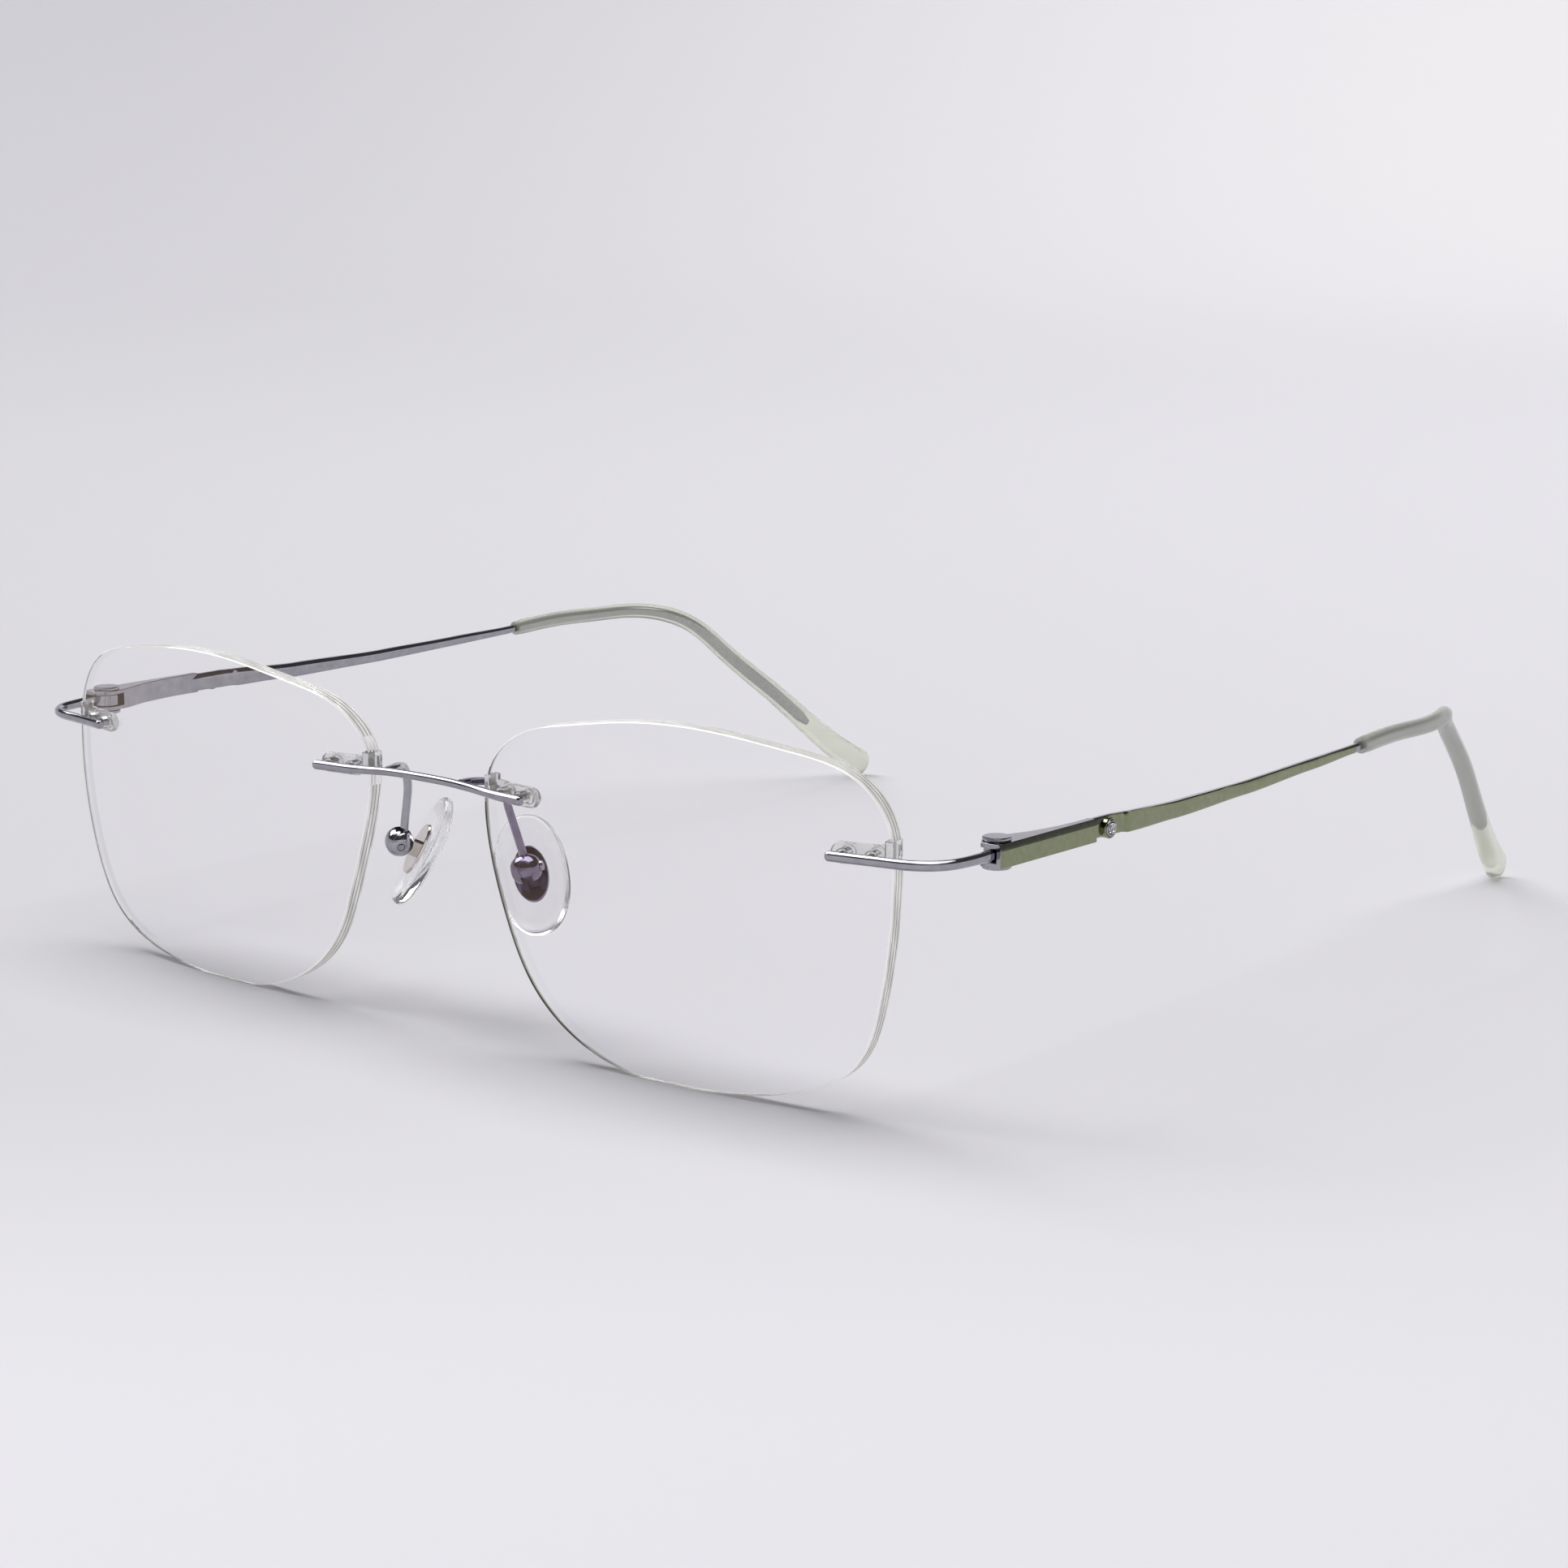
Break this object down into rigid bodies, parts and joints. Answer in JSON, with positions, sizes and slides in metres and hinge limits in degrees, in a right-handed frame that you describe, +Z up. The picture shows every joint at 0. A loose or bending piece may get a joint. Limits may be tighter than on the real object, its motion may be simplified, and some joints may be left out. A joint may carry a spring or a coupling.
{
  "type": "rimless eyeglasses",
  "caption": "Rimless eyeglasses with clear lenses, slim metal bridge, rocking nose pads, folding olive temples set with a small crystal, and translucent tip sleeves.",
  "frame": {"origin": "centre of the footprint on the table, at table level, with the temples open", "axes": "+Z up, -Y the way the wearer looks, +X the wearer's left"},
  "size_m": [0.1384, 0.1484, 0.0386],
  "materials": {
    "clear_lens": "clear polished lens plastic, bevelled edge",
    "clear_moulding": "clear moulded plastic",
    "polished_metal": "mirror-polished silver metal",
    "olive_lacquer": "glossy olive lacquer on the outer face, bare polished metal elsewhere",
    "clear_silicone": "clear soft silicone",
    "translucent_sleeve": "translucent grey-green, soft gloss",
    "crystal": "clear faceted stone"
  },
  "bodies": {
    "front": {"bridge": "polished_metal", "left_lens": "clear_lens", "left_nasal_plug": "clear_moulding", "left_temporal_plug": "clear_moulding", "left_end_piece": "polished_metal", "left_pad_arm": "polished_metal", "left_pad_box": "polished_metal", "left_pad_screw": "polished_metal", "right_lens": "clear_lens", "right_nasal_plug": "clear_moulding", "right_temporal_plug": "clear_moulding", "right_end_piece": "polished_metal", "right_pad_arm": "polished_metal", "right_pad_box": "polished_metal", "right_pad_screw": "polished_metal"},
    "left_temple_arm": {"left_temple": "olive_lacquer", "left_tip_sleeve": "translucent_sleeve", "left_hinge_screw": "polished_metal", "left_hinge_nut": "polished_metal", "left_bezel": "polished_metal", "left_crystal": "crystal"},
    "left_pad": {"left_nose_pad": "clear_silicone", "left_pad_insert": "polished_metal"},
    "right_temple_arm": {"right_temple": "olive_lacquer", "right_tip_sleeve": "translucent_sleeve", "right_hinge_screw": "polished_metal", "right_hinge_nut": "polished_metal", "right_bezel": "polished_metal", "right_crystal": "crystal"},
    "right_pad": {"right_nose_pad": "clear_silicone", "right_pad_insert": "polished_metal"}
  },
  "joints": [
    {"name": "left_temple_fold", "type": "hinge", "parent": "front", "child": "left_temple_arm", "pos_m": [0.0667, -0.0593, 0.02767], "axis": [0, 0, 1], "range_deg": [0, 86]},
    {"name": "right_temple_fold", "type": "hinge", "parent": "front", "child": "right_temple_arm", "pos_m": [-0.0667, -0.0593, 0.02767], "axis": [0, 0, -1], "range_deg": [0, 78]},
    {"name": "left_pad_rock", "type": "hinge", "parent": "front", "child": "left_pad", "pos_m": [0.0102, -0.0664, 0.0189], "axis": [0.7781, 0.5808, 0.2393], "range_deg": [-8, 8]},
    {"name": "right_pad_rock", "type": "hinge", "parent": "front", "child": "right_pad", "pos_m": [-0.0102, -0.0664, 0.0189], "axis": [-0.7781, 0.5808, 0.2393], "range_deg": [-8, 8]}
  ]
}
